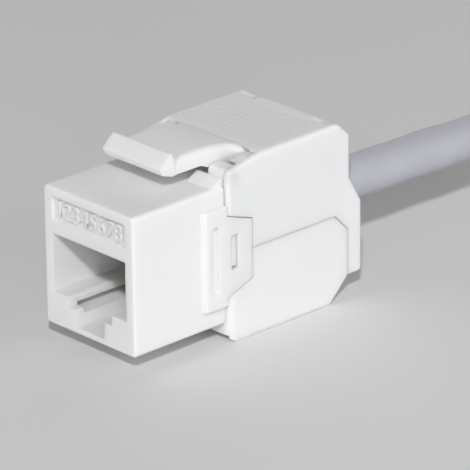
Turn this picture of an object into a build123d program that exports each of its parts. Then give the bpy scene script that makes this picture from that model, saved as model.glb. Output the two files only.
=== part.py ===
from build123d import *
import os
from math import cos, hypot, pi, radians, sin, sqrt, tan

os.makedirs("parts", exist_ok=True)

# Keystone jack: a modular socket for a panel or wall plate, closed on its cable by a hinged lever cap.
# The model is drawn with X across the jack, Y back from the port face and Z up from a base line near
# the underside of the front housing, in millimetres. Every piece is then moved so that the origin lies
# on the resting surface, below the middle of the jack without its cable.

# Front housing
face_width = 14.5
underside = -0.18
head_height = 5.4
housing_depth = 13.3
edge_round = 0.5
face_round = 0.3
fascia = 1.5

# Port for the plug, with the stepped slot for its locking tab
port_width = 11.8
port_sill = 3.8
port_height = 6.9
tab_width = 7.0
tab_floor = 2.6
finger_width = 4.6
finger_floor = 0.6
tab_wall = 1.3
undercut_width = 10.4
undercut_top = 2.9
undercut_floor = 1.95
stop_wall = 1.6
step_round = 0.3

# Sunk panel over the port
panel_width = 11.7
panel_height = 2.7
panel_margin = 1.1
panel_sink = 0.35

# Hollows behind the fascia
core_rise = 1.65
heel_drop = 1.0
relief_floor = 1.05
relief_height = 1.5
relief_width = 12.0
relief_wall = 0.5

# Side rails of the housing, with their tongues and windows
rail_front = 9.7
rail_stand = 0.57
rail_bottom = 2.2
rail_top = 13.9
rail_bevel = 0.5
tongue_thickness = 0.65
tongue_length = 3.65
tongue_root = 0.5
tongue_step = 0.35
tongue_high = 12.85
tongue_rear_high = 11.45
tongue_low = 3.15
tongue_rear_low = 4.55
window_offset = 0.55
window_length = 1.05
window_round = 0.25
window_bottom = 6.2
window_top = 10.3
groove_front = 11.0
groove_rear = 12.1
groove_bottom = 4.0
groove_top = 11.85
groove_depth = 0.45

# Stop wedges on the top and hook lug underneath, which hold the panel's edge
wedge_inner = 3.2
wedge_inset = 0.25
wedge_length = 1.7
wedge_rise = 0.85
wedge_crest = 0.3
lug_width = 7.2
lug_front = 8.2
lug_rear = 9.6
lug_drop = 1.35
lug_slope = 0.5

# Deck behind the housing, with the ears and pins of the lever cap
deck_inset = 0.3
deck_length = 5.0
ear_gap = 0.25
ear_length = 2.2
ear_rise = 1.8
ear_front_round = 0.7
ear_rear_round = 0.35
hinge_setback = 1.1
hinge_rise = 0.8
pin_radius = 0.7
pin_reach = 0.5
pin_clearance = 0.05

# Rear body
body_drop = 2.4
body_length = 18.15
body_wall = 1.05
floor_thickness = 1.2
rear_wall = 1.2
body_bevel = 2.95
seam_height = 8.0
seam_gap = 0.05
seam_bevel = 2.05
corner_round = 1.1
front_bevel_rise = 0.6
front_bevel_length = 0.9
toe_inset = 0.42
toe_rise = 0.86
toe_length = 2.0
snap_wall = 0.6
snap_top = 11.0
snap_reach = 0.5
nub_rise = 0.3
fit_gap = 0.1

# Lever cap
cap_rise = 2.7
cap_wall = 0.75
cap_plate = 1.2
cap_front_round = 0.9
ramp_front_drop = 1.05
ramp_length = 5.2
cap_top_inset = 1.65
cap_top_bevel = 1.6
cap_overhang = 0.15
cap_rear_wall = 1.3
flange_length = 1.8
flange_shoulder = 12.1
flange_top = 8.9
flange_bottom = 0.5
flange_round = 0.45
cheek_width = 1.12
cheek_sink = 0.35
sweep_radius = 4.35
seam_slit = 0.2
cap_edge_round = 0.45
grip_inset = 0.9
grip_grooves = 9
grip_pitch = 0.98
grip_first = 1.5
grip_width = 0.22
grip_depth = 0.03
nick_inset = 0.5
nick_width = 3.0
nick_fall = 1.2
nick_length = 1.0
nick_depth = 0.32

# Panel latch
arm_width = 9.1
arm_root_width = 11.5
arm_flare_length = 1.85
arm_tail = 1.05
arm_end_rise = 2.88
arm_mid = 12.5
arm_mid_rise = 3.7
arm_thickness = 1.85
arm_sag = 0.2
root_drop = 0.7
root_length = 2.8
lip_width = 9.3
lip_ridge = 8.05
lip_ridge_width = 0.25
lip_ridge_rise = 4.5
lip_nose = 6.4
lip_nose_rise = 3.1
lip_chin = 6.75
lip_chin_rise = 2.3
lip_throat = 8.1
lip_heel = 8.75
lip_round = 0.25
arm_edge_round = 0.7
latch_pivot_setback = 3.7
latch_pivot_rise = 1.8
knuckle_radius = 0.95
knuckle_gap = 0.1

# Contact set
contacts = 8
contact_pitch = 1.02
lead_size = 0.4
lead_drop = 0.85
bend_depth = 4.1
bend_radius = 0.55
spring_thickness = 0.35
spring_slope = 15.5
spring_overlap = 0.6
slot_width = 0.6
comb_height = 4.5
comb_rise = 0.2

# Carrier, circuit board and wire block
carrier_clearance = 0.1
carrier_reach = 1.6
roof_gap = 0.05
board_thickness = 1.2
board_margin = 0.9
board_side_gap = 0.27
board_hole_gap = 0.05
block_length = 5.6
block_base = 2.0
tower_reach = 1.5
tower_notch = 1.6

# Blades that cut through the wire insulation
blade_columns = 4
blade_pitch = 2.9
blade_width = 2.0
blade_thickness = 0.4
blade_stand = 1.7
blade_slit = 0.36
blade_slit_length = 3.4
blade_point = 0.5
blade_mouth = 0.3
blade_pin = 0.6
blade_row_rise = 1.1
blade_row_span = 9.4

# Wire manager, conductors and cable
manager_gap = 0.3
manager_rise = 0.6
cable_grip = 0.6
neck_length = 2.4
neck_wall = 0.9
wire_radius = 0.45
wire_lane = 1.1
wire_spacing = 1.0
wire_row = 0.7
wire_overrun = 1.4
wire_seat = 0.65
wire_bend = 0.6
wire_start_gap = 0.35
fan_margin = 0.15
cable_diameter = 5.0
cable_bore_gap = 0.15
cable_slot_gap = 0.3
cable_start = 27.0
tie_width = 1.2
tie_thickness = 0.6
tie_head = 2.3
tie_head_height = 1.5

# Cable route behind the jack: depth from the port face and fall below the exit
cable_route = [(cable_start, 0.0), (41.5, 0.35), (56.0, 0.97), (70.0, 2.05)]

# Heights worked out from the sizes above
port_top = port_sill + port_height
face_height = port_top + head_height
deck_top = face_height
panel_top = face_height - panel_margin
panel_bottom = panel_top - panel_height
core_top = port_top + core_rise
relief_bottom = core_top + relief_floor
relief_top = relief_bottom + relief_height
hinge_height = deck_top + hinge_rise
ear_height = deck_top + ear_rise
cap_top = deck_top + cap_rise
arm_end_height = deck_top + arm_end_rise
arm_mid_height = deck_top + arm_mid_rise
lip_ridge_height = deck_top + lip_ridge_rise
latch_pivot_height = deck_top + latch_pivot_rise
lead_height = core_top - lead_drop
comb_top = port_top + comb_rise
upper_row = lead_height + blade_row_rise
lower_row = upper_row - blade_row_span
cable_height = (upper_row + lower_row) / 2

# Depths worked out from the sizes above
plug_stop = housing_depth - stop_wall
wedge_front = housing_depth - wedge_length
tongue_rear = housing_depth + tongue_length
window_front = housing_depth + window_offset
window_rear = window_front + window_length
deck_rear = housing_depth + deck_length
ear_rear = housing_depth + ear_length
hinge_depth = housing_depth + hinge_setback
latch_pivot_depth = housing_depth + latch_pivot_setback
arm_end = latch_pivot_depth + arm_tail
arm_flare_start = arm_end - arm_flare_length
body_front = housing_depth + fit_gap
body_rear = body_front + body_length
ramp_end = body_front + ramp_length
cap_rear = body_rear + cap_overhang
cap_top_rear = cap_rear - cap_top_inset
flange_rear = cap_rear + flange_length
spring_rear = plug_stop + spring_overlap
carrier_rear = housing_depth + carrier_reach
block_front = carrier_rear + board_thickness + 2 * fit_gap
block_rear = block_front + block_length
blade_rear = block_rear + blade_stand
wire_depth = blade_rear - wire_seat
manager_front = block_rear + manager_gap
manager_rear = cable_start + cable_grip
neck_rear = manager_rear + neck_length

# Places across the jack worked out from the sizes above
half_face = face_width / 2
half_body = half_face + rail_stand
half_deck = half_face - deck_inset
ear_inner = arm_width / 2 + ear_gap
body_bottom = -body_drop
cap_inner = half_body - cap_wall
tongue_inner = half_body - tongue_thickness
snap_outer = tongue_inner - 2 * fit_gap
chamber_floor = body_bottom + floor_thickness
chamber_half = snap_outer - snap_wall - fit_gap
cheek_inner = cap_inner - cheek_width
port_half = port_width / 2
carrier_half = port_half - carrier_clearance
carrier_top = core_top - carrier_clearance
carrier_bottom = undercut_floor - heel_drop + carrier_clearance
board_rear = carrier_rear + fit_gap + board_thickness
core_bottom = chamber_floor + fit_gap
core_top_face = relief_top - fit_gap
blade_rows = (upper_row, lower_row)
cable_radius = cable_diameter / 2
to_origin = Pos(0, -flange_rear / 2, body_drop)


def block(x0, x1, y0, y1, z0, z1):
    size = Box(x1 - x0, y1 - y0, z1 - z0)
    return Pos((x0 + x1) / 2, (y0 + y1) / 2, (z0 + z1) / 2) * size


def both_sides(x0, x1, y0, y1, z0, z1):
    return block(x0, x1, y0, y1, z0, z1) + block(-x1, -x0, y0, y1, z0, z1)


def across(outline, x0, x1):
    """Extrudes a closed outline of (depth, height) points from x0 to x1."""
    face = make_face(Polyline(*outline, close=True))
    return extrude(Plane.YZ.offset(x0) * face, amount=x1 - x0)


def across_both(outline, x0, x1):
    return across(outline, x0, x1) + across(outline, -x1, -x0)


def rod(radius, x0, x1, depth, height):
    bar = Cylinder(radius, x1 - x0)
    return Pos((x0 + x1) / 2, depth, height) * Rot(0, 90, 0) * bar


def centred(count, pitch):
    return [(i - (count - 1) / 2) * pitch for i in range(count)]


def edges_near(part, axis, *spots):
    """Edges along an axis whose middle lies at one of the (x, y, z) spots, None matching anything."""
    found = []
    for edge in part.edges().filter_by(axis):
        middle = edge @ 0.5
        for spot in spots:
            gaps = [abs(a - b) for a, b in zip((middle.X, middle.Y, middle.Z), spot) if b is not None]
            if max(gaps) < 0.05:
                found.append(edge)
                break
    return found


def housing_shell():
    shell = block(-half_face, half_face, 0, housing_depth, underside, face_height)
    shell = fillet(shell.edges().filter_by(Axis.Y), edge_round)
    shell = fillet(shell.faces().sort_by(Axis.Y)[0].edges(), face_round)
    deck = block(-half_deck, half_deck, housing_depth - 1, deck_rear, relief_top, deck_top)
    return shell + deck


def port_hollow():
    """The plug's space, the stepped slot of its tab and the room for the contact carrier."""
    front = -1
    rear = housing_depth + 0.01
    mouth = block(-port_half, port_half, front, rear, port_sill, port_top)
    roof = block(-port_half, port_half, fascia, rear, port_sill, core_top)
    tab = block(-tab_width / 2, tab_width / 2, front, plug_stop, tab_floor, port_sill)
    finger = block(-finger_width / 2, finger_width / 2, front, plug_stop, finger_floor, port_sill)
    well = block(-tab_width / 2, tab_width / 2, tab_wall, plug_stop, undercut_floor, port_sill)
    side = undercut_width / 2
    undercut = block(-side, side, tab_wall, plug_stop, undercut_floor, undercut_top)
    heel = block(-port_half, port_half, plug_stop, rear, carrier_bottom - carrier_clearance, core_top)
    side = relief_width / 2
    relief = block(-side, side, fascia + relief_wall, rear, relief_bottom, relief_top)
    return mouth + roof + tab + finger + well + undercut + heel + relief


def tongue_outline(grow=0.0):
    root = housing_depth - tongue_root
    return [
        (root, tongue_low - grow),
        (housing_depth + tongue_step, tongue_low + 0.1 - grow),
        (tongue_rear + grow, tongue_rear_low - grow),
        (tongue_rear + grow, tongue_rear_high + grow),
        (root, tongue_high + grow),
    ]


def tongue_top(depth):
    """Height of the tongue's sloping upper edge at a depth."""
    slope = (tongue_rear_high - tongue_high) / (tongue_length + tongue_root)
    return tongue_high + slope * (depth - housing_depth + tongue_root)


def side_rails():
    rail = block(half_face - 0.3, half_body, rail_front, housing_depth, rail_bottom, rail_top)
    rail = chamfer(edges_near(rail, Axis.Z, (half_body, rail_front, None)), rail_bevel)
    rail += across(tongue_outline(), tongue_inner, half_body)
    groove_end = (groove_rear - groove_front) * 0.4
    inner = half_body - groove_depth
    groove = block(inner, half_body + 1, groove_front, groove_rear, groove_bottom, groove_top)
    groove = fillet(groove.edges().filter_by(Axis.X), groove_end)
    window = block(tongue_inner - 0.1, half_body + 1, window_front, window_rear, window_bottom, window_top)
    window = fillet(window.edges().filter_by(Axis.X), window_round)
    rail = rail - groove - window
    return rail + mirror(rail, Plane.YZ)


def stop_wedges():
    outline = [
        (wedge_front, face_height - 0.2),
        (wedge_front, face_height),
        (housing_depth - wedge_crest, face_height + wedge_rise),
        (housing_depth, face_height + wedge_rise),
        (housing_depth, face_height - 0.2),
    ]
    return across_both(outline, wedge_inner, half_face - wedge_inset)


def hook_lug():
    outline = [
        (lug_front, 0.2),
        (lug_front, -lug_drop * 0.35),
        (lug_front + lug_slope, -lug_drop),
        (lug_rear, -lug_drop),
        (lug_rear, 0.2),
    ]
    return across(outline, -lug_width / 2, lug_width / 2)


def hinge_ears():
    ear = block(ear_inner, half_deck, housing_depth, ear_rear, deck_top - 0.5, ear_height)
    ear = fillet(edges_near(ear, Axis.X, (None, housing_depth, ear_height)), ear_front_round)
    ear = fillet(edges_near(ear, Axis.X, (None, ear_rear, ear_height)), ear_rear_round)
    ear += rod(pin_radius, half_deck - 0.1, half_deck + pin_reach, hinge_depth, hinge_height)
    return ear + mirror(ear, Plane.YZ)


def latch_seat():
    """Low trough on the deck, behind and below the knuckle of the latch."""
    half = arm_width / 2
    front = latch_pivot_depth - knuckle_radius
    seat_top = latch_pivot_height - knuckle_radius + 0.1
    seat = block(-half, half, front, deck_rear, deck_top - 0.5, seat_top)
    seat += block(-half, half, latch_pivot_depth, deck_rear, deck_top - 0.5, latch_pivot_height - 0.5)
    bore = knuckle_radius + knuckle_gap
    return seat - rod(bore, -half - 1, half + 1, latch_pivot_depth, latch_pivot_height)


def front_housing():
    body = housing_shell() - port_hollow()
    body -= block(-panel_width / 2, panel_width / 2, -1, panel_sink, panel_bottom, panel_top)
    steps = [(tab_width / 2, port_sill), (finger_width / 2, tab_floor)]
    spots = [(side * x, None, z) for x, z in steps for side in (1, -1)]
    body = fillet(edges_near(body, Axis.Y, *spots), step_round)
    return body + side_rails() + stop_wedges() + hook_lug() + hinge_ears() + latch_seat()


def panel_latch():
    """Springy tongue: a lip that catches behind the panel, an arched arm and a round knuckle."""
    under = arm_mid_height - arm_thickness
    ridge_rear = lip_ridge + lip_ridge_width / 2
    heel = (lip_heel, arm_mid_height - arm_sag)
    tail = (arm_end, arm_end_height)
    top = ThreePointArc(heel, (arm_mid, arm_mid_height), tail)
    outline = [
        tail,
        (arm_end + 0.2, latch_pivot_height),
        (latch_pivot_depth + 0.5, latch_pivot_height - root_drop),
        (latch_pivot_depth - root_length, latch_pivot_height - root_drop),
        (arm_mid, under),
        (lip_throat, under),
        (lip_chin, deck_top + lip_chin_rise),
        (lip_nose, deck_top + lip_nose_rise),
        (ridge_rear - lip_ridge_width, lip_ridge_height),
        (ridge_rear, lip_ridge_height),
        heel,
    ]
    side = make_face([top.edge(), *Polyline(*outline).edges()])
    half = arm_root_width / 2
    arm = extrude(Plane.YZ.offset(-half) * side, amount=2 * half)
    arm += rod(knuckle_radius, -arm_width / 2, arm_width / 2, latch_pivot_depth, latch_pivot_height)
    lip = lip_width / 2
    waist = arm_width / 2
    neck = lip_heel - 0.2
    ahead = lip_nose - 1
    behind = arm_end + 0.5
    flare = ThreePointArc(
        (waist, arm_flare_start),
        (waist + 0.28 * (half - waist), arm_flare_start + 0.65 * (arm_end - arm_flare_start)),
        (half, arm_end),
    )
    plan = Polyline(
        (half, arm_end), (half, behind), (0, behind), (0, ahead),
        (lip, ahead), (lip, neck), (waist, neck + 0.25), (waist, arm_flare_start),
    )
    shape = extrude(make_face([flare.edge(), *plan.edges()]), amount=2 * cap_top)
    arm &= shape + mirror(shape, Plane.YZ)
    nose = (None, lip_nose, deck_top + lip_nose_rise)
    arm = fillet(edges_near(arm, Axis.X, nose), lip_round)
    return fillet(arm_ridges(arm, neck + 0.3), arm_edge_round)


def arm_ridges(arm, front):
    """Upper side edges of the arm behind the lip."""
    found = []
    for edge in arm.edges():
        middle = edge @ 0.5
        beside = abs(middle.X) > arm_width / 2 - 0.01
        along = abs((edge @ 0).Y - (edge @ 1).Y) > 0.5
        if beside and along and middle.Y > front and middle.Z > arm_end_height:
            found.append(edge)
    return found


def body_outline():
    return [
        (body_front, body_bottom + front_bevel_rise),
        (body_front + front_bevel_length, body_bottom),
        (body_rear - body_bevel, body_bottom),
        (body_rear, body_bottom + body_bevel),
        (body_rear, seam_height - seam_gap / 2 - seam_bevel),
        (body_rear - seam_bevel, seam_height - seam_gap / 2),
        (body_front, seam_height - seam_gap / 2),
    ]


def lower_body():
    """Tray under the wire block, with the wall that snaps into the tongues' windows."""
    tray = across(body_outline(), -half_body, half_body)
    corners = edges_near(tray, Axis.Z, (half_body, body_front, None), (-half_body, body_front, None))
    tray = fillet(corners, corner_round)
    toe = [
        (body_front - 1, body_bottom - 1),
        (body_front - 1, body_bottom + toe_rise),
        (body_front, body_bottom + toe_rise),
        (body_front + toe_length, body_bottom),
        (body_front + toe_length, body_bottom - 1),
    ]
    tray -= across(toe, toe_inset - half_body, half_body - toe_inset)
    pocket_rear = tongue_rear + fit_gap
    tray -= across_both(tongue_outline(fit_gap), snap_outer, half_body + 1)
    tray -= both_sides(snap_outer, half_body + 1, body_front - 1, pocket_rear, seam_height - 1, cap_top)
    hollow_half = half_body - body_wall
    inner_rear = body_rear - rear_wall
    tray -= block(-chamber_half, chamber_half, body_front - 1, tongue_rear, 0 - fit_gap, cap_top)
    tray -= block(-chamber_half, chamber_half, body_front + rear_wall, tongue_rear, chamber_floor, cap_top)
    hollow = block(-hollow_half, hollow_half, tongue_rear, inner_rear, chamber_floor, cap_top)
    tray -= chamfer(edges_near(hollow, Axis.X, (None, inner_rear, chamber_floor)), body_bevel - 0.5)
    snap_rear = tongue_rear - fit_gap
    snap = both_sides(snap_outer - snap_wall, snap_outer, body_front, snap_rear, seam_height - 1, snap_top)
    nub = both_sides(
        snap_outer - 0.2, snap_outer + snap_reach, window_front + fit_gap, window_rear - fit_gap,
        window_bottom + nub_rise, window_top - fit_gap,
    )
    slot_half = cable_radius + cable_slot_gap
    notch = block(-slot_half, slot_half, inner_rear - 2, body_rear + 1, cable_height, cap_top)
    notch += Pos(0, body_rear, cable_height) * Rot(90, 0, 0) * Cylinder(slot_half, 3 * cable_radius)
    return tray + snap + nub - notch


def cap_outline():
    low = seam_height + seam_gap / 2
    return [
        (body_front, tongue_top(body_front) + fit_gap),
        (body_front, cap_top - ramp_front_drop),
        (ramp_end, cap_top),
        (cap_top_rear, cap_top),
        (cap_rear, cap_top - cap_top_bevel),
        (cap_rear, flange_shoulder),
        (flange_rear, flange_top),
        (flange_rear, flange_bottom),
        (body_rear + seam_gap, flange_bottom),
        (body_rear + seam_gap, low - seam_bevel),
        (body_rear + seam_gap - seam_bevel, low),
        (tongue_rear + fit_gap, low),
        (tongue_rear + fit_gap, tongue_top(tongue_rear) + fit_gap),
    ]


def cable_fork():
    """Slot through the rear of the cap, open below, so that the cap lifts off the cable."""
    slot_half = cable_radius + cable_slot_gap
    slot = block(-slot_half, slot_half, cap_rear - 4, flange_rear + 1, flange_bottom - 1, cable_height)
    return slot + Pos(0, flange_rear, cable_height) * Rot(90, 0, 0) * Cylinder(slot_half, 3 * cable_radius)


def rear_nicks():
    """Shallow valleys across the rear edge of the top plate, one near each corner."""
    outer = half_body - nick_inset
    inner = outer - nick_width
    valley = [
        (inner, cap_top + 1),
        (inner, cap_top),
        (inner + nick_fall, cap_top - nick_depth),
        (outer, cap_top),
        (outer, cap_top + 1),
    ]
    rear = Plane.XZ.offset(-cap_rear)
    cut = extrude(rear * make_face(Polyline(*valley, close=True)), amount=cap_top_inset + nick_length)
    return cut + mirror(cut, Plane.YZ)


def top_cap():
    """Lever cap: two cheeks, a top plate and a forked tail that shuts behind the body."""
    cap = across(cap_outline(), -half_body, half_body)
    brow = edges_near(cap, Axis.X, (None, body_front, cap_top - ramp_front_drop))
    cap = fillet(brow, cap_front_round)
    cap = fillet(edges_near(cap, Axis.X, (None, flange_rear, flange_bottom)), flange_round)
    corners = edges_near(cap, Axis.Z, (half_body, body_front, None), (-half_body, body_front, None))
    ridge = edges_near(cap, Axis.Y, (half_body, None, cap_top), (-half_body, None, cap_top))
    cap = fillet(corners + ridge, cap_edge_round)
    plate_under = cap_top - cap_plate
    inner_rear = cap_rear - cap_rear_wall
    cap -= block(-cap_inner, cap_inner, body_front - 1, inner_rear, flange_bottom, plate_under)
    cap -= block(-cap_inner, cap_inner, body_front - 1, hinge_depth, 0, cap_top + 1)
    cap -= rod(ear_sweep(), -cap_inner, cap_inner, hinge_depth, hinge_height)
    cap -= rod(sweep_radius, -cheek_inner, cheek_inner, hinge_depth, hinge_height)
    slit_rear = hinge_depth + sqrt(sweep_radius**2 - (cap_top - hinge_height) ** 2)
    slit_front = slit_rear - seam_slit
    cap -= both_sides(cheek_inner - 0.1, cap_inner, slit_front, slit_rear, plate_under - 1, cap_top + 1)
    cheek_top = cap_top - cheek_sink
    cap -= both_sides(cheek_inner - 0.1, cap_inner, body_front - 1, slit_rear, cheek_top, cap_top + 1)
    socket_reach = half_deck + pin_reach + pin_clearance
    socket = rod(pin_radius + pin_clearance, cap_inner - 1, socket_reach, hinge_depth, hinge_height)
    cap -= socket + mirror(socket, Plane.YZ)
    for i in range(grip_grooves):
        start = ramp_end + grip_first + i * grip_pitch
        width = half_body - grip_inset
        cap -= block(-width, width, start, start + grip_width, cap_top - grip_depth, cap_top + 1)
    return cap - cable_fork() - rear_nicks()


def ear_sweep():
    """Radius round the hinge that the ears fill, with room to turn."""
    return hypot(ear_rear - hinge_depth, ear_height - hinge_height) + 0.15


def contact_carrier():
    """Insulating insert: a roof over the plug and a comb that keeps the springs apart."""
    roof_bottom = port_top + roof_gap
    side = carrier_half
    front = fascia + carrier_clearance
    channel_front = bend_depth - bend_radius - 0.6
    channel_top = lead_height + bend_radius - 0.2
    body = block(-side, side, front, carrier_rear, roof_bottom, carrier_top)
    body += block(-side, side, plug_stop, carrier_rear, carrier_bottom, carrier_top)
    for x in centred(contacts, contact_pitch):
        half = slot_width / 2
        body -= block(x - half, x + half, channel_front, plug_stop, roof_bottom - 1, channel_top)
        slot_rear = spring_rear + 0.4
        body -= block(x - half, x + half, plug_stop - 1, slot_rear, comb_top - comb_height, comb_top)
        hole = lead_size / 2 + 0.05
        low = lead_height - hole
        body -= block(x - hole, x + hole, plug_stop - 1, carrier_rear + 1, low, low + 2 * hole)
    return body


def contact_lead(x):
    half = lead_size / 2
    low = lead_height - half
    return block(x - half, x + half, bend_depth + 0.05, board_rear + 0.4, low, low + lead_size)


def contact_spring(x):
    """Gold spring: a hairpin round the bend and a beam that slopes down to the comb."""
    thin = spring_thickness / 2
    pivot = (bend_depth, lead_height - bend_radius)
    slope = radians(spring_slope)
    start = (pivot[0] - bend_radius * sin(slope), pivot[1] - bend_radius * cos(slope))
    run = (spring_rear - start[0]) / cos(slope)
    tip = (start[0] + run * cos(slope), start[1] - run * sin(slope))
    side = (thin * sin(slope), thin * cos(slope))
    beam = [
        (start[0] + side[0], start[1] + side[1]),
        (start[0] - side[0], start[1] - side[1]),
        (tip[0] - side[0], tip[1] - side[1]),
        (tip[0] + side[0], tip[1] + side[1]),
    ]
    half = lead_size / 2
    ring = rod(bend_radius + thin, x - half, x + half, *pivot)
    ring -= rod(bend_radius - thin, x - 1, x + 1, *pivot)
    keep = [
        (pivot[0], pivot[1] + 2),
        (pivot[0] - 2, pivot[1] + 2),
        (pivot[0] - 2, pivot[1] - 2),
        (pivot[0] - 2 * sin(slope), pivot[1] - 2 * cos(slope)),
        pivot,
    ]
    bend = ring & across(keep, x - 1, x + 1)
    return bend + across(beam, x - half, x + half)


def pin_hole(pin):
    """Eight-sided hole through the board, with room for the corners of a square pin."""
    across_flats = RegularPolygon(pin / sqrt(2) + board_hole_gap, 8, major_radius=False)
    return Rot(90, 0, 0) * extrude(across_flats, amount=2 * board_thickness, both=True)


def circuit_board():
    half = chamber_half - board_side_gap
    front = carrier_rear + fit_gap
    board = block(-half, half, front, board_rear, core_bottom + board_margin, core_top_face)
    lead_hole = pin_hole(lead_size)
    blade_hole = pin_hole(blade_pin)
    for x in centred(contacts, contact_pitch):
        board -= Pos(x, front, lead_height) * lead_hole
    for x in centred(blade_columns, blade_pitch):
        for z in blade_rows:
            board -= Pos(x, front, z) * blade_hole
    return board


def idc_block():
    """Wire block: a base plate and two rows of towers that guide the blades."""
    half = chamber_half - fit_gap
    front = block_front
    body = block(-half, half, front, front + block_base, core_bottom, core_top_face)
    body += block(-half, half, front, block_rear, core_bottom, lower_row + tower_reach)
    body += block(-half, half, front, block_rear, upper_row - tower_reach, core_top_face)
    wide = blade_width / 2 + 0.05
    thin = blade_thickness / 2 + 0.05
    lane = wire_lane / 2
    notch = block_rear - tower_notch
    for x in centred(blade_columns, blade_pitch):
        body -= block(x - lane, x + lane, notch, block_rear + 1, core_bottom - 1, core_top_face + 1)
        for z in blade_rows:
            body -= block(x - wide, x + wide, front - 1, block_rear + 1, z - thin, z + thin)
    for x in centred(contacts, contact_pitch):
        hole = lead_size / 2 + 0.1
        body -= block(x - hole, x + hole, front - 1, front + 0.6, lead_height - hole, lead_height + hole)
    return body


def idc_blade(x, z):
    """Forked blade with a pin through the board and a slit that grips the wire."""
    wide = blade_width / 2
    slit = blade_slit / 2
    mouth = slit + blade_mouth
    pin = blade_pin / 2
    shoulder = block_front + 0.2
    half_outline = [
        (pin, carrier_rear + 0.05),
        (pin, shoulder),
        (wide, shoulder),
        (wide, blade_rear - blade_point),
        (wide - blade_point, blade_rear),
        (mouth, blade_rear),
        (slit, blade_rear - 3 * blade_mouth),
        (slit, blade_rear - blade_slit_length),
    ]
    outline = half_outline + [(-a, b) for a, b in reversed(half_outline)]
    face = make_face(Polyline(*[(x + a, b) for a, b in outline], close=True))
    return extrude(Plane.XY.offset(z - blade_thickness / 2) * face, amount=blade_thickness)


def wire_manager():
    """Block that lays each wire across its blade, with a neck that grips the cable."""
    half = chamber_half - fit_gap
    body = block(-half, half, manager_front, manager_rear, core_bottom, core_top_face + manager_rise)
    neck_radius = cable_radius + cable_bore_gap + neck_wall
    neck_middle = (manager_rear + neck_rear) / 2
    neck = Cylinder(neck_radius, neck_rear - manager_rear)
    body += Pos(0, neck_middle, cable_height) * Rot(90, 0, 0) * neck
    bore = Cylinder(cable_radius + cable_bore_gap, neck_rear - cable_start + 0.3)
    body -= Pos(0, (neck_rear + cable_start - 0.3) / 2, cable_height) * Rot(90, 0, 0) * bore
    fan = blade_pitch * (blade_columns - 1) / 2 + wire_lane / 2 + fan_margin
    throat = wire_spacing * 1.5 + wire_lane / 2
    depth = wire_depth + wire_lane / 2
    tall = wire_row + wire_lane / 2
    front = manager_front - 1
    half_outline = [(fan, front), (fan, depth), (throat, cable_start)]
    outline = half_outline + [(-a, b) for a, b in reversed(half_outline)]
    face = make_face(Polyline(*outline, close=True))
    body -= extrude(Plane.XY.offset(cable_height - tall) * face, amount=2 * tall)
    for x in centred(blade_columns, blade_pitch):
        lane = wire_lane / 2
        body -= block(x - lane, x + lane, manager_front - 1, depth, core_bottom - 1, core_top_face + 2)
        for z in blade_rows:
            wide = blade_width / 2 + 0.1
            thin = blade_thickness / 2 + 0.1
            body -= block(x - wide, x + wide, manager_front - 1, blade_rear + 0.2, z - thin, z + thin)
    return body


def conductor(column, row):
    """One insulated wire: out of the cable, fanned to its column and turned up or down in its lane."""
    x_end = centred(blade_columns, blade_pitch)[column]
    x_start = centred(blade_columns, wire_spacing)[column]
    sign = 1 if row == 0 else -1
    z_start = cable_height + sign * wire_row
    path = Polyline(
        (x_start, cable_start - wire_start_gap, z_start),
        (x_end, wire_depth + wire_bend, z_start),
        (x_end, wire_depth, z_start + sign * wire_bend),
        (x_end, wire_depth, blade_rows[row] + sign * wire_overrun),
    )
    start = Plane(origin=path @ 0, z_dir=path % 0)
    return sweep(start * Circle(wire_radius), path=path, transition=Transition.RIGHT)


def cable_tie():
    """Nylon tie round the neck, with its square head on top."""
    inner = cable_radius + cable_bore_gap + neck_wall + 0.05
    outer = inner + tie_thickness
    middle = (manager_rear + neck_rear) / 2
    ring = Cylinder(outer, tie_width) - Cylinder(inner, tie_width + 1)
    ring = Pos(0, middle, cable_height) * Rot(90, 0, 0) * ring
    low = cable_height + inner + tie_thickness / 4
    half = tie_head / 2
    return ring + block(-half, half, middle - half, middle + half, low, low + tie_head_height)


def cable_tube():
    """Plain tube along the cable's route; prints how tight its bends are."""
    points = [Vector(0, depth, cable_height - fall) for depth, fall in cable_route]
    radii = []
    for before, corner, after in zip(points, points[1:], points[2:]):
        turn = radians((corner - before).get_angle(after - corner))
        shorter = min((corner - before).length, (after - corner).length)
        radii.append(0.45 * shorter / tan(turn / 2))
    print("cable bend radii", [round(r) for r in radii])
    path = FilletPolyline(*points, radius=radii)
    start = Plane(origin=path @ 0, z_dir=path % 0)
    tube = sweep(start * Circle(cable_radius), path=path)
    plain = pi * cable_radius**2 * path.length
    print("cable length", round(path.length, 2), "volume ratio", round(tube.volume / plain, 4))
    return tube


def save(name, part):
    export_step(to_origin * part, f"parts/{name}.step")


def main():
    save("front_housing", front_housing())
    save("panel_latch", panel_latch())
    save("lower_body", lower_body())
    save("top_cap", top_cap())
    save("contact_carrier", contact_carrier())
    save("circuit_board", circuit_board())
    save("idc_block", idc_block())
    save("wire_manager", wire_manager())
    save("cable_tie", cable_tie())
    save("cable", cable_tube())
    for number, x in enumerate(centred(contacts, contact_pitch), 1):
        save(f"contact_lead_{number}", contact_lead(x))
        save(f"contact_spring_{number}", contact_spring(x))
    for row, z in enumerate(blade_rows):
        for column, x in enumerate(centred(blade_columns, blade_pitch)):
            number = row * blade_columns + column + 1
            save(f"idc_blade_{number}", idc_blade(x, z))
            save(f"conductor_{number}", conductor(column, row))


main()
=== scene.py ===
# %% [markdown]
# # Dressing a keystone jack
# A keystone jack is a small white socket that snaps into a wall plate. Four white mouldings make it:
# a front housing with the port, a sprung latch, a rear body and a lever cap that closes over the wires.
# Its solids are ready and stand in their places. This lesson gives them their finishes, adds the few
# forms that are too fine for solids, and lights them softly on a pale floor.

# %% Load the solids
import math

import bmesh
import bpy
from mathutils import Matrix, Vector


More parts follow.
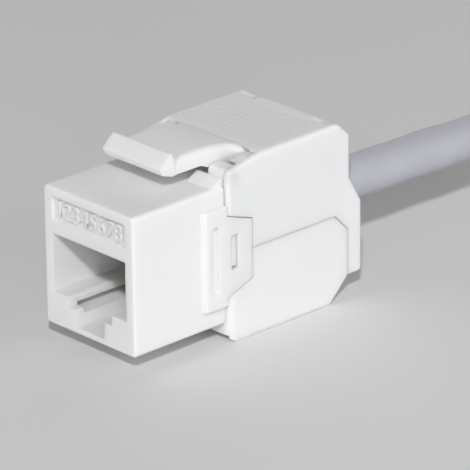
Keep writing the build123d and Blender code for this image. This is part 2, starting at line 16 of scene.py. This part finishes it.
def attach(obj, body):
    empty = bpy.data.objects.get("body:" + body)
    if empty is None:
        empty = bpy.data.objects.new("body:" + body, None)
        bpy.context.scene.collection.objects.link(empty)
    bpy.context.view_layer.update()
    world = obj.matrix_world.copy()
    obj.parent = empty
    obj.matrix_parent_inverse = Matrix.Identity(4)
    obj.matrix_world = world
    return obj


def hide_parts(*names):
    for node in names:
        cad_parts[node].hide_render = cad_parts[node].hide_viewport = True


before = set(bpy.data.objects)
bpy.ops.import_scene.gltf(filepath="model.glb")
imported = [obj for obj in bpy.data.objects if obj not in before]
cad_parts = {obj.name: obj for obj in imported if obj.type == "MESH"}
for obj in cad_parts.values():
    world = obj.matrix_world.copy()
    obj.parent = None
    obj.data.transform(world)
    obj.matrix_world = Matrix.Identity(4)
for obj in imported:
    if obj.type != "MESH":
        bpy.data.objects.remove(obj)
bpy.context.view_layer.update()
mm = 0.001
print("pieces at the start:", len(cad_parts))

# %% [markdown]
# ## Camera
# The photograph was taken from the right of the port and a little above, from far away, so parallel
# edges stay nearly parallel. A long lens at half a metre gives the same flat perspective. The camera's
# three directions are worked out from its azimuth and height, and then rolled by under one degree.

# %% Camera
photo_side = 470
focal_pixels = 4701
view_azimuth = math.radians(46.98)
view_elevation = math.radians(22.64)
view_roll = math.radians(-0.69)
view_distance = 517.3 * mm
view_target = Vector((0, -0.75, 11.4)) * mm
target_right = -4.15 * mm
target_above = 1.41 * mm
sensor_width = 36
nearest_seen = 0.05
farthest_seen = 20


def in_scene(name, data):
    """A new object in the scene, made from a mesh, a curve, a lamp or a camera."""
    made = bpy.data.objects.new(name, data)
    bpy.context.scene.collection.objects.link(made)
    return made


def make_camera():
    back = Vector((
        math.sin(view_azimuth) * math.cos(view_elevation),
        -math.cos(view_azimuth) * math.cos(view_elevation),
        math.sin(view_elevation),
    ))
    level = Vector((math.cos(view_azimuth), math.sin(view_azimuth), 0))
    upright = back.cross(level)
    right = math.cos(view_roll) * level + math.sin(view_roll) * upright
    up = math.cos(view_roll) * upright - math.sin(view_roll) * level
    camera = in_scene("camera", bpy.data.cameras.new("camera"))
    turn = Matrix((right, up, back)).transposed().to_4x4()
    eye = view_target + back * view_distance - right * target_right - up * target_above
    camera.matrix_world = Matrix.Translation(eye) @ turn
    camera.data.sensor_width = sensor_width
    camera.data.lens = focal_pixels / photo_side * sensor_width
    camera.data.clip_start = nearest_seen
    camera.data.clip_end = farthest_seen
    bpy.context.scene.camera = camera
    return camera


camera = make_camera()
print("lens:", round(camera.data.lens, 1), "mm")

# %% [markdown]
# ## Measures that the jack's pieces share
# The solids were drawn in millimetres, with depth measured back from the port face and height up from
# a base line near the underside of the front housing. The scene counts in metres, and its origin lies
# on the floor under the middle of the jack. One helper turns the first into the second, so that the
# numbers below can be read as on a drawing.

# %% Places on the jack
middle_depth = 16.75
base_line_height = 2.4


def place(across, depth, height):
    """A point given across the jack, back from the port face and up from the base line."""
    return Vector((across, depth - middle_depth, height + base_line_height)) * mm


print("base line at the port face:", [round(x / mm, 2) for x in place(0, 0, 0)], "mm")

# %% [markdown]
# ## The cable's line
# A stiff 5 mm data cable leaves the back of the jack, and the photograph shows a short piece of it.
# Its middle is one smooth line that droops a little. Four points and a spline are enough for that, and
# the points read from the evaluated spline then carry everything that follows the cable.

# %% Cable line
cable_diameter = 5.0
cable_height = 7.9
cable_route = [(27.0, 0.0), (41.5, 0.3), (56.0, 0.55), (70.0, 1.4)]
spline_order = 3
points_per_span = 24


def spline_points(route):
    """Points along a smooth curve whose route is given as depth and fall."""
    curve = bpy.data.curves.new("line", "CURVE")
    curve.dimensions = "3D"
    spline = curve.splines.new("NURBS")
    spline.points.add(len(route) - 1)
    for point, (depth, fall) in zip(spline.points, route):
        point.co = (*place(0, depth, cable_height - fall), 1)
    spline.order_u = spline_order
    spline.use_endpoint_u = True
    spline.resolution_u = points_per_span
    line = in_scene("line", curve)
    bpy.context.view_layer.update()
    mesh = bpy.data.meshes.new_from_object(line.evaluated_get(bpy.context.evaluated_depsgraph_get()))
    points = [v.co.copy() for v in mesh.vertices]
    bpy.data.objects.remove(line)
    return points


def direction_at(line, index):
    before = line[max(index - 1, 0)]
    after = line[min(index + 1, len(line) - 1)]
    return (after - before).normalized()


cable_line = spline_points(cable_route)

# %% [markdown]
# ## Helpers for meshes
# Some pieces are easiest to make from a list of points and a list of faces. Three small helpers
# serve all of them. One builds the object, one turns its faces outwards, because a face that points
# inwards can look black or vanish in another program, and one counts triangles for the printed notes.


# %% Mesh helpers
def mesh_object(name, vertices, faces, smooth=True):
    mesh = bpy.data.meshes.new(name)
    mesh.from_pydata([tuple(v) for v in vertices], [], faces)
    for polygon in mesh.polygons:
        polygon.use_smooth = smooth
    mesh.update()
    return in_scene(name, mesh)


def turn_faces_out(made):
    shell = bmesh.new()
    shell.from_mesh(made.data)
    bmesh.ops.recalc_face_normals(shell, faces=shell.faces)
    shell.to_mesh(made.data)
    shell.free()


def triangle_count(made):
    return sum(len(polygon.vertices) - 2 for polygon in made.data.polygons)


# %% [markdown]
# ## The cable's jacket
# Such a piece of cable is cut square, so its end shows the jacket as a ring round an open bore. A
# bevelled curve would be quicker, but its end would be a plain disc. The jacket is therefore a skin
# through rings: along the line, round a small lip and back into the bore. The twisted pairs inside
# press faint lumps into a real jacket, so each ring swells slightly on two sides, and the swellings
# turn along the cable as the pairs do.

# %% Cable jacket
jacket_sides = 64
jacket_wall = 0.55
bore_depth = 2.2
lip_round = 0.12
lip_steps = 4
lump_height = 0.045
lump_length = 9.0
lumps_round = 2


def ring_of(centre, along, radius, sides, lump):
    """Points of a circle round a line, always from the same side on, swollen by the wires inside."""
    across = Vector((1, 0, 0))
    upright = along.cross(across).normalized()
    phase = 2 * math.pi * centre.y / (lump_length * mm)
    ring = []
    for i in range(sides):
        t = 2 * math.pi * i / sides
        reach = radius + lump * math.sin(lumps_round * t + phase)
        ring.append(centre + reach * (math.cos(t) * across + math.sin(t) * upright))
    return ring


def skin_through(name, stations, sides):
    """A closed skin through rings, each given as centre, direction, radius and lump."""
    rings = [ring_of(centre, along, radius, sides, lump) for centre, along, radius, lump in stations]
    vertices = [point for ring in rings for point in ring]
    last = (len(rings) - 1) * sides
    faces = []
    for start in range(0, last, sides):
        for i in range(sides):
            j = (i + 1) % sides
            faces.append((start + i, start + j, start + sides + j, start + sides + i))
    faces.append(tuple(range(sides)))
    faces.append(tuple(reversed(range(last, last + sides))))
    made = mesh_object(name, vertices, faces)
    turn_faces_out(made)
    return made


def make_jacket():
    radius = cable_diameter / 2 * mm
    bore = radius - jacket_wall * mm
    lip = lip_round * mm
    lump = lump_height * mm
    clear_of_lip = 3 * lip
    end = cable_line[-1]
    along = direction_at(cable_line, len(cable_line) - 1)
    stations = []
    for index, point in enumerate(cable_line):
        if (point - end).length >= clear_of_lip:
            stations.append((point, direction_at(cable_line, index), radius, lump))
    for step in range(lip_steps + 1):
        turn = math.pi / 2 * step / lip_steps
        drawn = lip * (1 - math.sin(turn))
        narrow = lip * (1 - math.cos(turn))
        stations.append((end - along * drawn, along, radius - narrow, lump))
    stations.append((end, along, bore + lip / 2, 0.0))
    stations.append((end - along * lip / 2, along, bore, 0.0))
    stations.append((end - along * bore_depth * mm, along, bore, 0.0))
    return skin_through("cable_jacket", stations, jacket_sides)


jacket = make_jacket()
print("jacket triangles:", triangle_count(jacket))

# %% [markdown]
# ## Repeated pieces
# At the cut end, four twisted pairs lie in the quarters of a cross-shaped plastic filler. Eight equal
# wires are a pattern, so Geometry Nodes makes them: a short cylinder is set on each of a few points,
# and the copies become real mesh at the end, because an exported model would lose bare copies. The
# class below writes such a tree as method calls. It runs on a small mesh of loose points and gives
# back a plain mesh without a modifier.


# %% Geometry Nodes helpers
def frozen(source, name):
    """The evaluated shape of an object as a plain mesh object, its place kept in the mesh."""
    bpy.context.view_layer.update()
    evaluated = source.evaluated_get(bpy.context.evaluated_depsgraph_get())
    mesh = bpy.data.meshes.new_from_object(evaluated)
    mesh.transform(source.matrix_world)
    bpy.data.objects.remove(source)
    return in_scene(name, mesh)


class Growth:
    """A Geometry Nodes tree that is written as method calls and ends in one frozen mesh."""

    def __init__(self, name):
        self.name = name
        self.tree = bpy.data.node_groups.new(name, "GeometryNodeTree")
        self.tree.interface.new_socket("Geometry", in_out="INPUT", socket_type="NodeSocketGeometry")
        self.tree.interface.new_socket("Geometry", in_out="OUTPUT", socket_type="NodeSocketGeometry")
        self.start = self.tree.nodes.new("NodeGroupInput")
        self.values = {}

    def size(self, name, value):
        """A named input of the tree, with the value that this piece gives it."""
        kind = "NodeSocketInt" if isinstance(value, int) else "NodeSocketFloat"
        self.tree.interface.new_socket(name, in_out="INPUT", socket_type=kind)
        self.values[name] = value
        return self.start.outputs[name]

    def node(self, kind, inputs):
        """Adds a node and gives its sockets their values or links."""
        made = self.tree.nodes.new(kind)
        for name, value in inputs.items():
            if isinstance(value, bpy.types.NodeSocket):
                self.tree.links.new(value, made.inputs[name])
            else:
                made.inputs[name].default_value = value
        return made

    def freeze(self, shape, points, material):
        """Ends the tree, runs it on the points and returns the plain mesh object."""
        real = self.node("GeometryNodeRealizeInstances", {"Geometry": shape})
        painted = self.node(
            "GeometryNodeSetMaterial", {"Geometry": real.outputs[0], "Material": material}
        )
        end = self.tree.nodes.new("NodeGroupOutput")
        self.tree.links.new(painted.outputs[0], end.inputs[0])
        seed = mesh_object(self.name + "_seed", points, [])
        modifier = seed.modifiers.new("growth", "NODES")
        modifier.node_group = self.tree
        for item in self.tree.interface.items_tree:
            if item.in_out == "INPUT" and item.name in self.values:
                modifier[item.identifier] = self.values[item.name]
        seed.data.update_tag()
        made = frozen(seed, self.name)
        made.data.materials.clear()
        made.data.materials.append(material)
        print(self.name, "triangles:", triangle_count(made))
        return made


# %% [markdown]
# ## Shader arithmetic
# A finish is easier to read as sums and products than as boxes and wires. One small class wraps a
# socket and turns each operator into a Math node. Its reflected forms let a plain number stand on
# the left, as in 0.3 + 0.1 * grain.


# %% Shader values
class Value:
    """A number that changes over a surface. Its operators add Math nodes."""

    def __init__(self, finish, socket):
        self.finish = finish
        self.socket = socket

    def reckon(self, operation, *terms):
        made = self.finish.node("Math", {"operation": operation})
        for socket, term in zip(made.inputs, terms):
            self.finish.join(term, socket)
        return Value(self.finish, made.outputs[0])

    def __add__(self, other):
        return self.reckon("ADD", self, other)

    __radd__ = __add__

    def __mul__(self, other):
        return self.reckon("MULTIPLY", self, other)

    __rmul__ = __mul__

    def above(self, level):
        return self.reckon("GREATER_THAN", self, level)

    def waves(self):
        return self.reckon("SINE", self)


# %% [markdown]
# ## One class for a finish
# A finish owns a material and its Principled shader. What is the same all over a piece goes straight
# on the shader's own sockets when the finish is made. What varies comes last: the colour, the
# roughness, and a normal that a Bevel node rounds at the edges and a Bump node roughens.

# %% Shader finishes
mix_factor_input = 0
mix_colour_inputs = (6, 7)
mix_colour_output = 2
bevel_samples = 6


class Finish:
    """One material whose patterns read Object coordinates, so that they keep their size."""

    def __init__(self, name, roughness=0.5, **constant):
        self.material = bpy.data.materials.new(name)
        self.material.use_nodes = True
        self.tree = self.material.node_tree
        self.shader = self.tree.nodes["Principled BSDF"]
        self.shader.inputs["Roughness"].default_value = roughness
        for socket, value in constant.items():
            self.shader.inputs[socket.replace("_", " ")].default_value = value
        self.coordinates = self.node("TexCoord").outputs["Object"]

    def join(self, value, socket):
        """Gives a socket a value, or links it where the value is one that changes."""
        if isinstance(value, Value):
            value = value.socket
        if isinstance(value, bpy.types.NodeSocket):
            self.tree.links.new(value, socket)
        else:
            socket.default_value = value

    def node(self, kind, settings=(), inputs=()):
        """Adds a node. Its settings come first, and then its sockets get values or links."""
        made = self.tree.nodes.new("ShaderNode" + kind)
        for name, value in dict(settings).items():
            setattr(made, name, value)
        for name, value in dict(inputs).items():
            self.join(value, made.inputs[name])
        return made

    def stretched(self, lengthways):
        """Coordinates in which a pattern is drawn out from front to back."""
        inputs = {"Vector": self.coordinates, "Scale": (1.0, lengthways, 1.0)}
        return self.node("Mapping", (), inputs).outputs[0]

    def noise(self, size, detail=2.0, roughness=0.5, where=None):
        """Noise from 0 to 1 whose lumps are about size across, in millimetres."""
        inputs = {"Vector": where or self.coordinates, "Scale": 1 / (size * mm), "Detail": detail}
        inputs["Roughness"] = roughness
        return Value(self, self.node("TexNoise", (), inputs).outputs["Fac"])

    def mix(self, factor, first, second):
        """A colour between two, which are tuples or sockets."""
        made = self.node("Mix", {"data_type": "RGBA"})
        self.join(factor, made.inputs[mix_factor_input])
        for index, colour in zip(mix_colour_inputs, (first, second)):
            self.join((*colour, 1) if isinstance(colour, tuple) else colour, made.inputs[index])
        return made.outputs[mix_colour_output]

    def axes(self):
        """Places across the jack, along its depth and up, as three values in metres."""
        parts = self.node("SeparateXYZ", (), {"Vector": self.coordinates})
        return [Value(self, socket) for socket in parts.outputs]

    def surface(self, colour, roughness, height=None, depth=0.0, soften=0.0):
        """Joins what changes over the surface. Height is in shares of depth, in millimetres."""
        self.join(colour, self.shader.inputs["Base Color"])
        self.join(roughness, self.shader.inputs["Roughness"])
        normal = None
        if soften:
            normal = self.node("Bevel", {"samples": bevel_samples}, {"Radius": soften * mm}).outputs[0]
        if height is not None:
            inputs = {"Height": height, "Distance": depth * mm, "Strength": 1.0}
            if normal:
                inputs["Normal"] = normal
            normal = self.node("Bump", (), inputs).outputs[0]
        if normal:
            self.join(normal, self.shader.inputs["Normal"])
        return self.material


# %% [markdown]
# ## White moulding
# The four large pieces are white ABS with a fine spark-eroded texture from the mould. Three things
# make it read as plastic: a colour that drifts by a percent or so, a gloss that is a bit uneven, and
# a texture whose grains are about a tenth of a millimetre. The edges of a moulding are never knife
# sharp, so the shading normal is rounded there by a tenth of a millimetre. White plastic also lets
# light a little way in, which softens its shadows, so over half of its light scatters below the
# surface.

# %% White moulding
white = (0.88, 0.883, 0.888)
white_shade = (0.85, 0.855, 0.863)
white_roughness = 0.54
scatter_share = 0.6
scatter_depth = 1.2
scatter_tint = (1.0, 0.97, 0.94)
patch_gloss = 0.1
patch_height = 0.4
grain_gloss = 0.05


def white_moulding():
    finish = Finish(
        "white_moulding", Specular_IOR_Level=0.3, Subsurface_Weight=scatter_share,
        Subsurface_Scale=scatter_depth * mm, Subsurface_Radius=scatter_tint,
    )
    drift = finish.noise(size=6.0, detail=3.0)
    grain = finish.noise(size=0.09, detail=3.0, roughness=0.6)
    patches = finish.noise(size=1.6)
    colour = finish.mix(drift, white, white_shade)
    roughness = white_roughness + patch_gloss * patches + grain_gloss * grain
    texture = grain + patch_height * patches
    return finish.surface(colour, roughness, texture, depth=0.006, soften=0.12)


moulding = white_moulding()
print("white moulding:", len(moulding.node_tree.nodes), "nodes")

# %% [markdown]
# ## Inner mouldings
# Inside the port sits a black insert that carries the contacts. Behind it are a black wire block and
# a white wire manager, held on the cable by a nylon tie. These are plainer versions of the same idea:
# a colour, its shade, and a fine grain that also moves the gloss up and down by the same amount.

# %% Inner mouldings
gloss_swing = 0.1


def inner_moulding(name, colour, shade, roughness):
    finish = Finish(name, roughness=roughness, IOR=1.5)
    drift = finish.noise(size=2.5)
    grain = finish.noise(size=0.12)
    painted = finish.mix(drift, colour, shade)
    gloss = roughness - gloss_swing / 2 + gloss_swing * grain
    return finish.surface(painted, gloss, grain, depth=0.004, soften=0.06)


black_insert = inner_moulding("black_insert", (0.012, 0.012, 0.013), (0.02, 0.02, 0.021), 0.5)
white_insert = inner_moulding("white_insert", (0.78, 0.78, 0.76), (0.72, 0.72, 0.7), 0.45)
nylon = inner_moulding("nylon", (0.72, 0.7, 0.64), (0.66, 0.64, 0.58), 0.35)
print("inner mouldings:", black_insert.name, white_insert.name, nylon.name)

# %% [markdown]
# ## Metals
# The springs are bronze wire plated with gold, drawn along their length, so the gloss has fine
# streaks that run from front to back. The blades are tin plated, which is whiter and duller. A noise
# that is stretched along the depth gives such streaks without drawing any of them.

# %% Metals
streak_stretch = 0.08
streak_shine = 0.06
streak_swing = 0.14


def plated(name, colour, shade, roughness):
    finish = Finish(name, roughness=roughness, Metallic=1.0)
    streaks = finish.noise(size=0.05, where=finish.stretched(streak_stretch))
    spots = finish.noise(size=0.8)
    painted = finish.mix(spots, colour, shade)
    gloss = roughness - streak_shine + streak_swing * streaks
    return finish.surface(painted, gloss, streaks, depth=0.003, soften=0.04)


gold = plated("gold_plating", (0.9, 0.66, 0.28), (0.85, 0.58, 0.22), 0.22)
tin = plated("tin_plating", (0.78, 0.76, 0.72), (0.7, 0.68, 0.65), 0.32)
copper = plated("bare_copper", (0.86, 0.42, 0.26), (0.78, 0.36, 0.22), 0.28)
print("metals:", gold.name, tin.name, copper.name)

# %% [markdown]
# ## Circuit board
# Green solder mask lies over copper tracks, which show as slightly paler lines that stand proud.
# The tracks are straight, so a sine wave across the board, cut off at a level, is enough for them.

# %% Circuit board
mask_green = (0.012, 0.12, 0.045)
mask_green_shade = (0.016, 0.15, 0.06)
track_green = (0.04, 0.26, 0.1)
track_pitch = 1.45
track_level = 0.35
track_share = 0.6
mask_roughness = 0.25
mask_gloss = 0.1


def solder_mask():
    finish = Finish("solder_mask", roughness=0.3, Coat_Weight=0.5)
    across = finish.axes()[0]
    lines = (across * (2 * math.pi / (track_pitch * mm))).waves().above(track_level)
    cloudy = finish.noise(size=0.5)
    base = finish.mix(cloudy, mask_green, mask_green_shade)
    colour = finish.mix(lines * track_share, base, track_green)
    roughness = mask_roughness + mask_gloss * cloudy
    return finish.surface(colour, roughness, lines, depth=0.02, soften=0.03)


board_green = solder_mask()
print("circuit board:", len(board_green.node_tree.nodes), "nodes")

# %% [markdown]
# ## Wires
# Eight insulated wires fan out inside the cap. Four are coloured, and each has a white partner with
# a thin stripe of its pair's colour. The stripe follows a slanting wave across, along and up, so that
# it seems to wind along the wire wherever the wire turns.

# %% Wires
pair_colours = {
    "blue": (0.03, 0.11, 0.42),
    "orange": (0.8, 0.22, 0.02),
    "green": (0.02, 0.25, 0.06),
    "brown": (0.16, 0.06, 0.025),
}
wire_white = (0.8, 0.8, 0.77)
wire_shade = 0.85
stripe_pitch = 1.5
stripe_level = 0.82
stripe_slant = (0.6, 0.5)
wire_roughness = 0.3
wire_gloss = 0.08


def wire_insulation(name, colour, stripe=None):
    finish = Finish(name, roughness=0.32, IOR=1.48)
    cloudy = finish.noise(size=0.6)
    darker = tuple(wire_shade * c for c in colour)
    painted = finish.mix(cloudy, colour, darker)
    if stripe:
        across, depth, height = finish.axes()
        slanting = across + depth * stripe_slant[0] + height * stripe_slant[1]
        turned = slanting * (2 * math.pi / (stripe_pitch * mm))
        painted = finish.mix(turned.waves().above(stripe_level), painted, stripe)
    return finish.surface(painted, wire_roughness + wire_gloss * cloudy, cloudy, depth=0.003)


plain_wire = {}
striped_wire = {}
for pair, colour in pair_colours.items():
    plain_wire[pair] = wire_insulation("wire_" + pair, colour)
    striped_wire[pair] = wire_insulation("wire_white_" + pair, wire_white, colour)
print("wire finishes:", len(plain_wire) + len(striped_wire))

# %% [markdown]
# ## Cable jacket finish
# The jacket is extruded grey-blue plastic. Extrusion leaves faint lines along it, so the noise is
# stretched along the cable, and the gloss is soft.

# %% Cable jacket finish
jacket_colour = (0.52, 0.522, 0.575)
jacket_shade = (0.47, 0.472, 0.53)
line_stretch = 0.05
jacket_roughness = 0.36
line_gloss = 0.12
cloud_gloss = 0.05


def jacket_plastic():
    finish = Finish("jacket_plastic", roughness=0.42, IOR=1.5)
    lines = finish.noise(size=0.25, detail=3.0, where=finish.stretched(line_stretch))
    cloudy = finish.noise(size=3.0, detail=3.0)
    colour = finish.mix(cloudy, jacket_colour, jacket_shade)
    roughness = jacket_roughness + line_gloss * lines + cloud_gloss * cloudy
    return finish.surface(colour, roughness, lines, depth=0.02)


jacket.data.materials.append(jacket_plastic())
print("jacket finish:", jacket.data.materials[0].name)

# %% [markdown]
# ## Dressing the solids
# Each solid is found by the name of its node. One table from node to finish keeps all the choices in
# sight, and a loop adds the eight contacts, blades and wires. The first four wires take the plain
# colours, and the last four are their striped partners.

# %% Dress the solids
finish_of = {
    "front_housing": moulding,
    "panel_latch": moulding,
    "lower_body": moulding,
    "top_cap": moulding,
    "contact_carrier": black_insert,
    "idc_block": black_insert,
    "wire_manager": white_insert,
    "cable_tie": nylon,
    "circuit_board": board_green,
}
pair_names = list(pair_colours)
wire_finishes = [plain_wire[pair] for pair in pair_names] + [striped_wire[pair] for pair in pair_names]
for number, wire_finish in enumerate(wire_finishes, start=1):
    finish_of[f"contact_lead_{number}"] = gold
    finish_of[f"contact_spring_{number}"] = gold
    finish_of[f"idc_blade_{number}"] = tin
    finish_of[f"conductor_{number}"] = wire_finish
for node, material in finish_of.items():
    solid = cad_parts[node]
    solid.data.materials.clear()
    solid.data.materials.append(material)
print("dressed solids:", len(finish_of))

# %% [markdown]
# ## Wires at the cut end
# Each pair sits in its own quarter of the jacket's bore. The wires are flush with the jacket, and the
# copper stands out by a hair, as a cutter leaves it. Every wire is a rod on one point, drawn round the
# Z axis first, and one matrix then lays all of them along the cable's end.

# %% Wires at the cut end
wire_diameter = 0.9
copper_diameter = 0.5
copper_proud = 0.08
pair_radius = 1.05
pair_lean = 0.5
wire_end_length = 2.0
rod_sides = 20
end_point = cable_line[-1]
end_along = direction_at(cable_line, len(cable_line) - 1)


def end_frame():
    """Turns a shape drawn round the Z axis so that it lies along the cable's end."""
    across = Vector((1, 0, 0))
    upright = end_along.cross(across).normalized()
    turn = Matrix((across, upright, end_along)).transposed().to_4x4()
    return Matrix.Translation(end_point) @ turn


def pair_spots(pair):
    """Centres of the two wires of a pair, round the cable's middle, in millimetres."""
    turn = math.pi / 4 + pair * math.pi / 2
    middle = Vector((math.cos(turn), math.sin(turn), 0)) * pair_radius
    lean = turn + math.pi / 2 + pair_lean * pair
    aside = Vector((math.cos(lean), math.sin(lean), 0)) * wire_diameter / 2
    return middle + aside, middle - aside


def short_rods(name, spots, diameter, proud, material):
    """A rod on each spot, made by Geometry Nodes; its outer end stands proud of the cable's end."""
    growth = Growth(name)
    radius = growth.size("Radius", diameter / 2 * mm)
    long = growth.size("Length", wire_end_length * mm)
    sides = growth.size("Sides", rod_sides)
    rod = growth.node("GeometryNodeMeshCylinder", {"Vertices": sides, "Radius": radius, "Depth": long})
    copies = growth.node(
        "GeometryNodeInstanceOnPoints",
        {"Points": growth.start.outputs[0], "Instance": rod.outputs["Mesh"]},
    )
    centre = (proud - wire_end_length / 2) * mm
    points = [Vector((spot.x * mm, spot.y * mm, centre)) for spot in spots]
    made = growth.freeze(copies.outputs[0], points, material)
    made.data.transform(end_frame())
    return made


def cable_end():
    made = []
    every = []
    for index, pair in enumerate(pair_names):
        plain_spot, striped_spot = pair_spots(index)
        made.append(short_rods("wire_end_" + pair, [plain_spot], wire_diameter, 0.0, plain_wire[pair]))
        striped_name = "wire_end_white_" + pair
        made.append(short_rods(striped_name, [striped_spot], wire_diameter, 0.0, striped_wire[pair]))
        every += [plain_spot, striped_spot]
    made.append(short_rods("copper_ends", every, copper_diameter, copper_proud, copper))
    return made


wire_ends = cable_end()

# %% [markdown]
# ## Filler cross
# A plus-shaped plastic bar keeps the four pairs apart along the whole cable. Only its cut end can be
# seen, so a short bar is enough. One corner of its outline is turned four times, which is easier to
# read than a list of twelve points, and the outline is then pushed back into the bore.

# %% Filler cross
filler_thickness = 0.35
filler_margin = 0.05


def filler_cross():
    arm = cable_diameter / 2 - jacket_wall - filler_margin
    half = filler_thickness / 2
    corner = [(half, half), (half, arm), (-half, arm)]
    outline = []
    for quarter in range(4):
        turn = Matrix.Rotation(quarter * math.pi / 2, 2)
        outline += [turn @ Vector(point) for point in corner]
    front = [Vector((p.x * mm, p.y * mm, 0)) for p in outline]
    back = [Vector((p.x * mm, p.y * mm, -wire_end_length * mm)) for p in outline]
    count = len(outline)
    faces = [tuple(range(count)), tuple(reversed(range(count, 2 * count)))]
    for i in range(count):
        j = (i + 1) % count
        faces.append((i, i + count, j + count, j))
    cross = mesh_object("filler_cross", front + back, faces, smooth=False)
    cross.data.materials.append(white_insert)
    cross.data.transform(end_frame())
    turn_faces_out(cross)
    return cross


cross = filler_cross()
print("filler cross triangles:", triangle_count(cross))

# %% [markdown]
# ## The cable on the housing
# The plain tube among the solids is hidden and the jacket takes its place, and the wires and
# the filler go with it. All of them ride on the housing, which never moves.

for piece in wire_ends + [cross]:
    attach(piece, "housing")
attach(jacket, "housing")
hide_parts("cable")
wire_ends + [cross]
print("pieces on the cable:", len(wire_ends) + 1)

# %% [markdown]
# ## Numbers in the sunk panel
# Above the port is a shallow panel. It carries the numbers of the eight contacts, which stand up
# from its floor and stay below the face. Text gives the strokes, a thin bevel rounds them, and then
# they become a plain mesh like every other piece.

# %% Numbers in the sunk panel
contact_count = 8
panel_bottom = 12.3
panel_top = 15.0
panel_floor = 0.35
digit_pitch = 1.36
digit_height = 1.9
digit_rise = 0.32
digit_bevel = 0.03
bevel_steps = 2
stroke_steps = 6
height_in_letter = 0.7


def raised_digit(number):
    """One figure as a mesh. Its bevel reaches just into the panel's floor, so no gap can show."""
    text = bpy.data.curves.new("digit", "FONT")
    text.body = str(number)
    text.size = digit_height / height_in_letter * mm
    text.align_x = "CENTER"
    text.align_y = "CENTER"
    text.extrude = digit_rise / 2 * mm
    text.bevel_depth = digit_bevel * mm
    text.bevel_resolution = bevel_steps
    text.resolution_u = stroke_steps
    digit = in_scene("digit", text)
    across = (number - (contact_count + 1) / 2) * digit_pitch
    depth = panel_floor - digit_rise / 2 + digit_bevel
    where = place(across, depth, (panel_bottom + panel_top) / 2)
    digit.matrix_world = Matrix.Translation(where) @ Matrix.Rotation(math.pi / 2, 4, "X")
    return frozen(digit, f"digit_{number}")


def pin_numbers():
    joined = bmesh.new()
    for number in range(1, contact_count + 1):
        digit = raised_digit(number)
        joined.from_mesh(digit.data)
        bpy.data.objects.remove(digit)
    mesh = bpy.data.meshes.new("pin_numbers")
    joined.to_mesh(mesh)
    joined.free()
    mesh.materials.append(moulding)
    return in_scene("pin_numbers", mesh)


numbers = pin_numbers()
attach(numbers, "housing")
print("number triangles:", triangle_count(numbers))

# %% [markdown]
# ## Floor
# The jack stands on a plain pale floor, wide enough that its edge is never seen. Its colour drifts a
# little over a hand's width, which keeps it from looking like flat paint. It belongs to the stage and
# isn't a piece of the jack.

# %% Floor
floor_size = 3.0
floor_pale = (0.8, 0.803, 0.806)
floor_shade = (0.78, 0.783, 0.786)
floor_roughness = 0.8


def pale_floor():
    half = floor_size / 2
    corners = [(-half, -half, 0), (half, -half, 0), (half, half, 0), (-half, half, 0)]
    floor = mesh_object("floor", corners, [(0, 1, 2, 3)], smooth=False)
    finish = Finish("pale_floor")
    cloudy = finish.noise(size=80.0)
    colour = finish.mix(cloudy, floor_pale, floor_shade)
    floor.data.materials.append(finish.surface(colour, floor_roughness))
    return floor


floor = pale_floor()
print("floor:", floor_size, "m square")

# %% [markdown]
# ## Light
# A small lamp from the right, the front and above gives the slanting shadows inside the port and
# under the latch. Four wide lamps are softer: one low on the right lifts the right side and the front,
# one in front on the left lifts the front alone, one further back on the right keeps the side brighter
# than its bevels, and one behind on the left gives the cable and the back some form. An even sky fills
# the rest. Each lamp's level is given as what it adds to a white surface, because watts say little
# about how bright a small thing gets.

# %% Light
lamp_distance = 0.9
sky_strength = 0.24
sky_colour = (1, 1, 1, 1)


def disk_lamp(name, direction, size, level):
    """A disk lamp; level is what it adds to a white surface that faces it."""
    lamp = bpy.data.lights.new(name, "AREA")
    lamp.shape = "DISK"
    lamp.size = size
    lamp.energy = level * (math.pi * lamp_distance) ** 2
    made = in_scene(name, lamp)
    away = Vector(direction).normalized()
    turn = away.to_track_quat("Z", "Y").to_matrix().to_4x4()
    made.matrix_world = Matrix.Translation(view_target + away * lamp_distance) @ turn
    return made


def even_sky():
    world = bpy.data.worlds.new("sky")
    world.use_nodes = True
    background = world.node_tree.nodes["Background"]
    background.inputs["Color"].default_value = sky_colour
    background.inputs["Strength"].default_value = sky_strength
    bpy.context.scene.world = world


lamps = [
    disk_lamp("key", (1.0, -0.95, 1.03), size=0.06, level=0.53),
    disk_lamp("side", (1.0, -0.72, 0.2), size=0.45, level=0.155),
    disk_lamp("front", (-0.5, -1.0, 0.12), size=0.5, level=0.07),
    disk_lamp("right", (1.0, 0.35, 0.4), size=0.5, level=0.165),
    disk_lamp("back", (-0.8, 1.0, 0.3), size=0.6, level=0.1),
]
even_sky()
bpy.context.scene.view_settings.view_transform = "Standard"
print("lamps:", [lamp.name for lamp in lamps])
